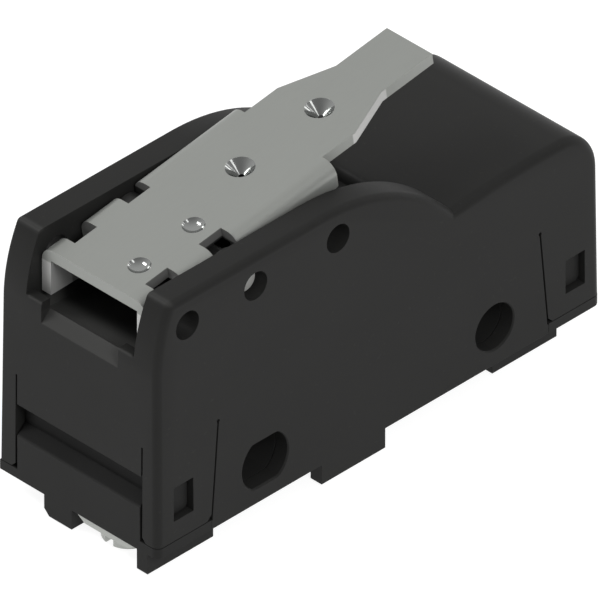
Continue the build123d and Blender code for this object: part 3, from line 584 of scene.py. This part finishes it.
# Close coils along X, and from each end a leg on the axis with a round stop at its tip
COIL_TURNS = 48.0
WIRE_RADIUS = 0.15 * MM
LEG_FRONT = 2.75 * MM
LEG_REAR = 2.25 * MM
STOP_LENGTH = 0.3 * MM
STOP_RADIUS = 0.5 * MM
STOP_TIP_RADIUS = 0.36 * MM

spring_low, spring_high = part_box("tension_spring")
coil_radius = (spring_high[2] - spring_low[2]) / 2 - WIRE_RADIUS
axis_level = (spring_high[2] + spring_low[2]) / 2
coils_start, coils_end = spring_low[0] + LEG_FRONT, spring_high[0] - LEG_REAR


def end_leg(reach):
    """A leg with its stop, from the last coil at z = 0 upwards."""
    return lathe(
        [
            (0.0, -2.0 * WIRE_RADIUS),
            (coil_radius, -2.0 * WIRE_RADIUS),
            (coil_radius + WIRE_RADIUS, -WIRE_RADIUS),
            (coil_radius + WIRE_RADIUS, 0.0),
            (coil_radius * 0.6, WIRE_RADIUS),
            (WIRE_RADIUS, 4.0 * WIRE_RADIUS),
            (WIRE_RADIUS, reach),
            (STOP_RADIUS, reach + 0.02 * MM),
            (STOP_RADIUS, reach + STOP_LENGTH * 0.7),
            (STOP_TIP_RADIUS, reach + STOP_LENGTH),
            (0.0, reach + STOP_LENGTH),
        ],
        steps=24,
    )


def along_axis(start, side):
    """Puts a shape that stands on z = 0 at x = start on the spring's axis, upwards to the given side of X."""
    return Matrix.Translation((start, 0.0, axis_level)) @ Matrix.Rotation(side * pi / 2, 4, "Y")


coil = wound_wire(
    spring_wire,
    Turns=COIL_TURNS,
    Steps_a_Turn=20,
    Coil_Radius=coil_radius,
    Wire_Radius=WIRE_RADIUS * 0.98,
    Wire_Corners=8,
    Height=coils_end - coils_start,
)
spring = one_mesh(
    "wound_tension_spring",
    [
        (coil, along_axis(coils_start, 1.0)),
        (end_leg(LEG_FRONT - STOP_LENGTH), along_axis(coils_start, -1.0)),
        (end_leg(LEG_REAR - STOP_LENGTH), along_axis(coils_end, 1.0)),
    ],
    spring_wire,
)
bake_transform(spring)
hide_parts("tension_spring")

# ---------------------------------------------------------------- terminal screws

# The CAD screw with its shank turned down to the root, and the thread wound round it
HEAD_HEIGHT = 1.05 * MM
SHANK_RADIUS = 1.25 * MM
ROOT_RADIUS = 1.06 * MM
THREAD_PITCH = 0.45 * MM
THREAD_RADIUS = 0.13 * MM
PLAIN_BELOW_THREAD = 0.9 * MM
PLAIN_ABOVE_THREAD = 0.3 * MM
# The thread's crest stays this far inside the CAD shank
CREST_GAP = 1e-6
# How near a vertex has to be to the shank's radius, and how far below the head's face it may lie
RADIUS_TOLERANCE = 1e-5
LEVEL_TOLERANCE = 1e-6

for name in ("common", "open", "closed"):
    node = f"terminal_screw_{name}"
    low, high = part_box(node)
    centre = ((low[0] + high[0]) / 2, (low[1] + high[1]) / 2)
    work = merged(node)
    for vert in work.verts:
        across = Vector((vert.co.x - centre[0], vert.co.y - centre[1]))
        on_shank = vert.co.z > low[2] + HEAD_HEIGHT - LEVEL_TOLERANCE
        if on_shank and abs(across.length - SHANK_RADIUS) < RADIUS_TOLERANCE:
            across *= ROOT_RADIUS / across.length
            vert.co.x, vert.co.y = centre[0] + across.x, centre[1] + across.y
    core = stored(node, work)
    thread_start = low[2] + HEAD_HEIGHT + PLAIN_BELOW_THREAD
    thread_height = high[2] - PLAIN_ABOVE_THREAD - thread_start
    thread = wound_wire(
        steel_plated,
        Turns=thread_height / THREAD_PITCH,
        Steps_a_Turn=28,
        Coil_Radius=SHANK_RADIUS - THREAD_RADIUS - CREST_GAP,
        Wire_Radius=THREAD_RADIUS,
        Wire_Corners=6,
        Height=thread_height,
    )
    screw = one_mesh(
        f"slotted_screw_{name}",
        [(core, Matrix.Identity(4)), (thread, Matrix.Translation((*centre, thread_start)))],
        steel_plated,
    )
    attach(screw, "housing")
    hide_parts(node)

# ---------------------------------------------------------------- floor and background

FLOOR_LEVEL = -0.2 * MM
FLOOR_REACH = 4.0

floor_mesh = bpy.data.meshes.new("floor")
floor_mesh.from_pydata(
    [(FLOOR_REACH * x, FLOOR_REACH * y, FLOOR_LEVEL) for x, y in ((-1, -1), (1, -1), (1, 1), (-1, 1))],
    [],
    [(0, 1, 2, 3)],
)
floor = bpy.data.objects.new("floor", floor_mesh)
scene.collection.objects.link(floor)


def shown_or_lighting(web, rays, lighting, shown):
    """One shader for the rays named and another for all others."""
    seen = None
    for kind in rays:
        ray = web.add("ShaderNodeLightPath", {}, {}, kind)
        seen = ray if seen is None else seen.math("MAXIMUM", ray)
    return web.add("ShaderNodeMixShader", {}, {0: seen, 1: lighting, 2: shown})


WHITE = (1.0, 1.0, 1.0)
VIEW_RAYS = ("Is Camera Ray", "Is Glossy Ray", "Is Transmission Ray")
# What is seen of the paper: nearly white by itself, and a little more where the lamps reach it
paper = Finish("floor_paper")
paper_lighting = paper.add("ShaderNodeBsdfDiffuse", {}, {"Color": (0.55, 0.55, 0.55)})
paper_lit = paper.add("ShaderNodeBsdfDiffuse", {}, {"Color": (0.25, 0.25, 0.25)})
paper_white = paper.add("ShaderNodeEmission", {}, {"Color": WHITE, "Strength": 0.90})
paper_shown = paper.add("ShaderNodeAddShader", {}, {0: paper_lit, 1: paper_white})
paper_surface = shown_or_lighting(paper, VIEW_RAYS, paper_lighting, paper_shown)
paper.add("ShaderNodeOutputMaterial", {}, {"Surface": paper_surface})
floor_mesh.materials.append(paper.material)

# The room is lighter towards the far side and darker behind the near side, and the camera sees it white
world = bpy.data.worlds.new("studio")
scene.world = world
world.use_nodes = True
sky = Web(world.node_tree)
outlook = sky.add("ShaderNodeTexCoord", {}, {}, "Generated")
lean = sky.add(
    "ShaderNodeVectorMath", {"operation": "DOT_PRODUCT"}, {0: outlook, 1: (0.5, 0.8, 0.3)}, "Value"
)
room_strength = lean.between(-0.9, 0.9) * 0.42 + 0.20
room = sky.add("ShaderNodeBackground", {}, {"Color": WHITE, "Strength": room_strength})
backdrop = sky.add("ShaderNodeBackground", {}, {"Color": WHITE, "Strength": 1.0})
sky_surface = shown_or_lighting(sky, ("Is Camera Ray",), room, backdrop)
sky.add("ShaderNodeOutputWorld", {}, {"Surface": sky_surface})
